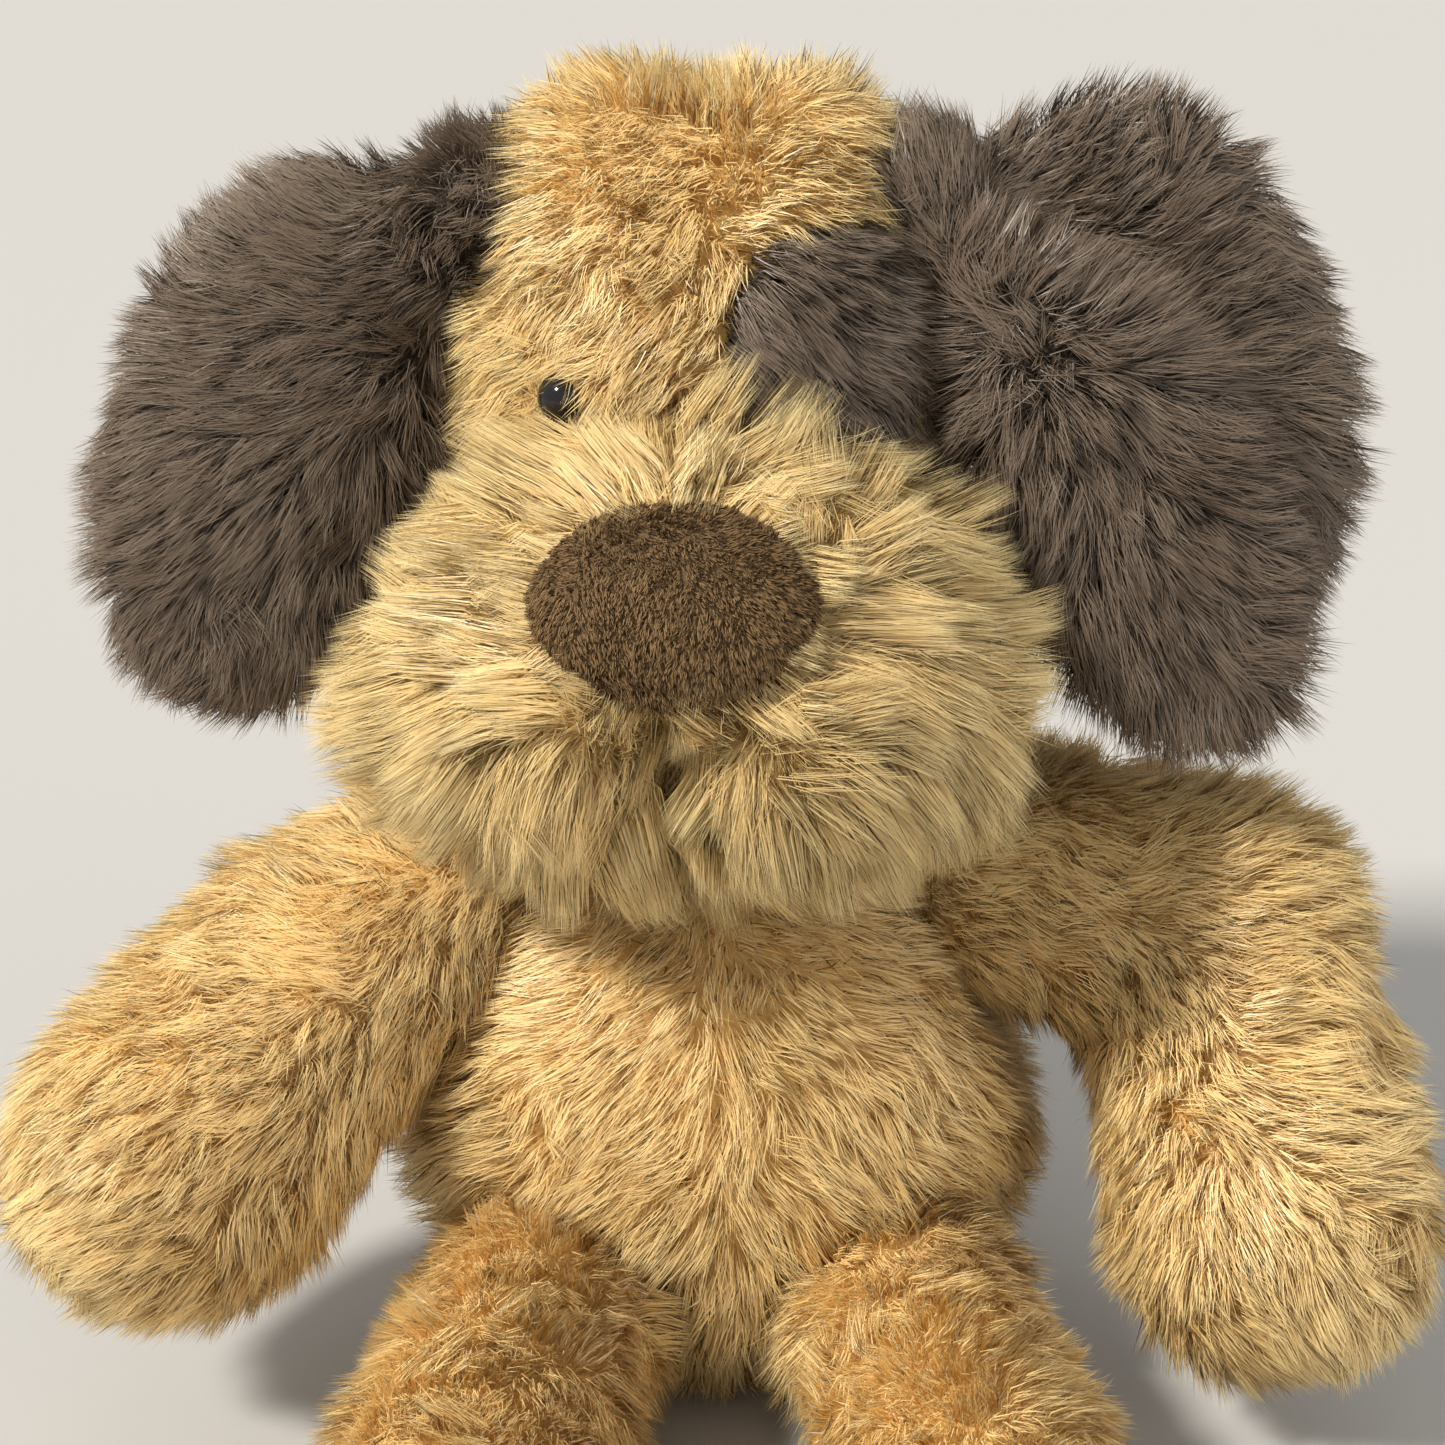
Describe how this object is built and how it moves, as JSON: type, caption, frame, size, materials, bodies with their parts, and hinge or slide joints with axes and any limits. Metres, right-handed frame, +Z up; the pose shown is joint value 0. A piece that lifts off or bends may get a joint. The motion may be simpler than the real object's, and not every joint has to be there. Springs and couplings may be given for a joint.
{
  "type": "plush dog",
  "caption": "Seated floppy plush dog: long tan pile, hanging brown ears, a brown patch round one eye, a pale shaggy muzzle and a soft brown nose.",
  "frame": {"origin": "middle of the flat seat panel that the dog rests on", "axes": "+Z up, the dog faces -Y, its dark eye patch is on the +X side"},
  "size_m": [0.305, 0.285, 0.2969],
  "materials": {
    "tan_pile": "matte",
    "cream_pile": "matte",
    "brown_pile": "matte",
    "nose_velour": "matte",
    "fibre_fill": "matte",
    "cotton": "matte",
    "pellets": "satin",
    "tan_thread": "matte",
    "brown_thread": "matte",
    "eye_black": "gloss",
    "washer_plastic": "satin"
  },
  "bodies": {
    "torso": {"torso_front_left": "tan_pile", "torso_front_right": "tan_pile", "torso_back_left": "tan_pile", "torso_back_right": "tan_pile", "seat_panel": "tan_pile", "closing_stitch": "tan_thread", "pellet_pouch": "cotton", "pellet_fill": "pellets", "torso_stuffing": "fibre_fill"},
    "neck": {"neck_cover": "tan_pile", "neck_stuffing": "fibre_fill"},
    "head": {"face_left": "tan_pile", "face_right": "tan_pile", "eye_patch": "brown_pile", "head_back_left": "tan_pile", "head_back_right": "tan_pile", "head_stuffing": "fibre_fill", "lip_left": "cream_pile", "lip_right": "cream_pile", "chin": "cream_pile", "muzzle_stuffing": "fibre_fill", "nose_cover": "nose_velour", "nose_stuffing": "fibre_fill", "mouth_stitch": "brown_thread", "eye_left": "eye_black", "eye_right": "eye_black", "eye_washer_left": "washer_plastic", "eye_washer_right": "washer_plastic"},
    "ear_left": {"ear_left_front": "brown_pile", "ear_left_back": "brown_pile"},
    "ear_right": {"ear_right_front": "brown_pile", "ear_right_back": "brown_pile"},
    "arm_left": {"arm_left_front": "tan_pile", "arm_left_back": "tan_pile", "arm_left_stuffing": "fibre_fill"},
    "arm_right": {"arm_right_front": "tan_pile", "arm_right_back": "tan_pile", "arm_right_stuffing": "fibre_fill"},
    "leg_left": {"leg_left_top": "tan_pile", "leg_left_bottom": "tan_pile", "sole_left": "tan_pile", "leg_left_stuffing": "fibre_fill"},
    "leg_right": {"leg_right_top": "tan_pile", "leg_right_bottom": "tan_pile", "sole_right": "tan_pile", "leg_right_stuffing": "fibre_fill"},
    "tail": {"tail_left": "tan_pile", "tail_right": "tan_pile", "tail_stuffing": "fibre_fill"}
  },
  "joints": [
    {"name": "head_turn", "type": "hinge", "parent": "torso", "child": "neck", "pos_m": [0, 0, 0.158], "axis": [0, 0, 1], "range_deg": [-20, 20]},
    {"name": "head_nod", "type": "hinge", "parent": "neck", "child": "head", "pos_m": [0, 0, 0.158], "axis": [0.9962, -0.0872, 0], "range_deg": [-15, 10]},
    {"name": "ear_left_lift", "type": "hinge", "parent": "head", "child": "ear_left", "pos_m": [-0.04863, 0.00425, 0.26636], "axis": [0.0872, 0.9962, 0], "range_deg": [0, 50]},
    {"name": "ear_right_lift", "type": "hinge", "parent": "head", "child": "ear_right", "pos_m": [0.04098, -0.00359, 0.2695], "axis": [-0.0872, -0.9962, 0], "range_deg": [0, 50]},
    {"name": "arm_left_swing", "type": "hinge", "parent": "torso", "child": "arm_left", "pos_m": [-0.05, 0, 0.122], "axis": [-1, 0, 0], "range_deg": [-30, 40]},
    {"name": "arm_right_swing", "type": "hinge", "parent": "torso", "child": "arm_right", "pos_m": [0.05, 0, 0.122], "axis": [-1, 0, 0], "range_deg": [-30, 40]},
    {"name": "leg_left_swing", "type": "hinge", "parent": "torso", "child": "leg_left", "pos_m": [-0.037, -0.038, 0.032], "axis": [-1, 0, 0], "range_deg": [-45, 12]},
    {"name": "leg_right_swing", "type": "hinge", "parent": "torso", "child": "leg_right", "pos_m": [0.037, -0.038, 0.032], "axis": [-1, 0, 0], "range_deg": [-45, 12]},
    {"name": "tail_wag", "type": "hinge", "parent": "torso", "child": "tail", "pos_m": [0, 0.0625, 0.04], "axis": [0, 0, 1], "range_deg": [-30, 30]}
  ]
}
